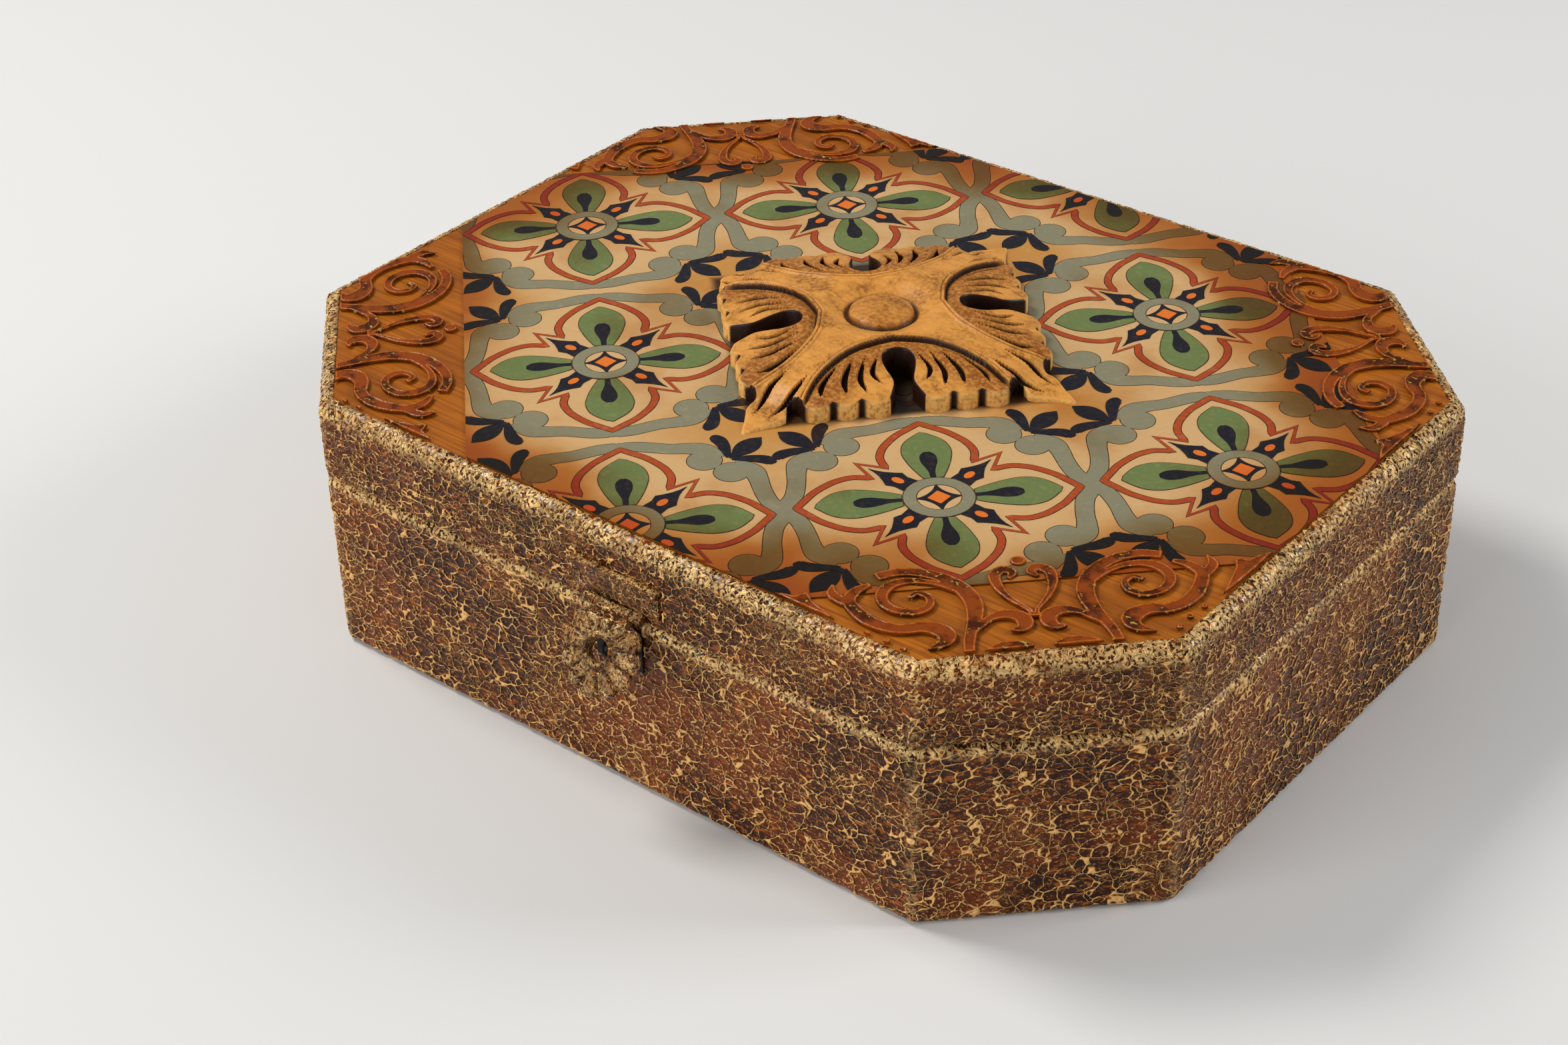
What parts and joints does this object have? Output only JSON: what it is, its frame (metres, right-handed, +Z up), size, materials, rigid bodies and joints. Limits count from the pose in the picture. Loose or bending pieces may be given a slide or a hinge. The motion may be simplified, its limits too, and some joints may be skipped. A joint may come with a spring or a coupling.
{
  "type": "wooden keepsake box",
  "caption": "Octagonal wooden keepsake box with a hinged lid, carved rosette, raised corner scrolls and a front latch.",
  "frame": {"origin": "centre of the underside, on the surface the box stands on", "axes": "+X along the length, to the right of a viewer who faces the latch; -Y is the latch side; +Z up"},
  "size_m": [0.28, 0.2381, 0.0855],
  "materials": {
    "coated_wood": "crackled coat, gilded ridges over dark brown",
    "plain_wood": "bare, lightly sanded",
    "honey_wood": "stained and varnished",
    "printed_paper": "printed paper glued to the lid under varnish",
    "relief_paste": "stained paste, varnished",
    "carved_wood": "carved, stained and glazed",
    "hinge_brass": "aged",
    "latch_metal": "painted over with the walls' coat"
  },
  "bodies": {
    "base": {"base_board_front": "coated_wood", "base_board_front_right": "coated_wood", "base_board_right": "coated_wood", "base_board_back_right": "coated_wood", "base_board_back": "coated_wood", "base_board_back_left": "coated_wood", "base_board_left": "coated_wood", "base_board_front_left": "coated_wood", "bottom_panel": "plain_wood", "hinge_base_leaf_left": "hinge_brass", "hinge_base_leaf_right": "hinge_brass", "hinge_pin_left": "hinge_brass", "hinge_pin_right": "hinge_brass", "hinge_base_screw_1": "hinge_brass", "hinge_base_screw_2": "hinge_brass", "hinge_base_screw_3": "hinge_brass", "hinge_base_screw_4": "hinge_brass", "catch_plate": "latch_metal", "catch_plate_nail_1": "latch_metal", "catch_plate_nail_2": "latch_metal", "latch_knob": "latch_metal"},
    "lid": {"lid_board_front": "coated_wood", "lid_board_front_right": "coated_wood", "lid_board_right": "coated_wood", "lid_board_back_right": "coated_wood", "lid_board_back": "coated_wood", "lid_board_back_left": "coated_wood", "lid_board_left": "coated_wood", "lid_board_front_left": "coated_wood", "top_panel": "honey_wood", "print_sheet": "printed_paper", "relief_scroll_front_right": "relief_paste", "relief_scroll_back_right": "relief_paste", "relief_scroll_back_left": "relief_paste", "relief_scroll_front_left": "relief_paste", "relief_leaf_front_right_a": "relief_paste", "relief_leaf_front_right_b": "relief_paste", "relief_leaf_back_right_a": "relief_paste", "relief_leaf_back_right_b": "relief_paste", "relief_leaf_back_left_a": "relief_paste", "relief_leaf_back_left_b": "relief_paste", "relief_leaf_front_left_a": "relief_paste", "relief_leaf_front_left_b": "relief_paste", "carved_rosette": "carved_wood", "hinge_lid_leaf_left": "hinge_brass", "hinge_lid_leaf_right": "hinge_brass", "hinge_lid_screw_1": "hinge_brass", "hinge_lid_screw_2": "hinge_brass", "hinge_lid_screw_3": "hinge_brass", "hinge_lid_screw_4": "hinge_brass", "latch_plate": "latch_metal", "latch_plate_nail_1": "latch_metal", "latch_plate_nail_2": "latch_metal", "latch_pin": "latch_metal"},
    "hasp": {"latch_hasp": "latch_metal"}
  },
  "joints": [
    {"name": "lid_hinge", "type": "hinge", "parent": "base", "child": "lid", "pos_m": [0, 0.1123, 0.05265], "axis": [-1, 0, 0], "range_deg": [0, 100]},
    {"name": "hasp_hinge", "type": "hinge", "parent": "lid", "child": "hasp", "pos_m": [0.007, -0.112, 0.055], "axis": [-1, 0, 0], "range_deg": [-30, 90]}
  ]
}
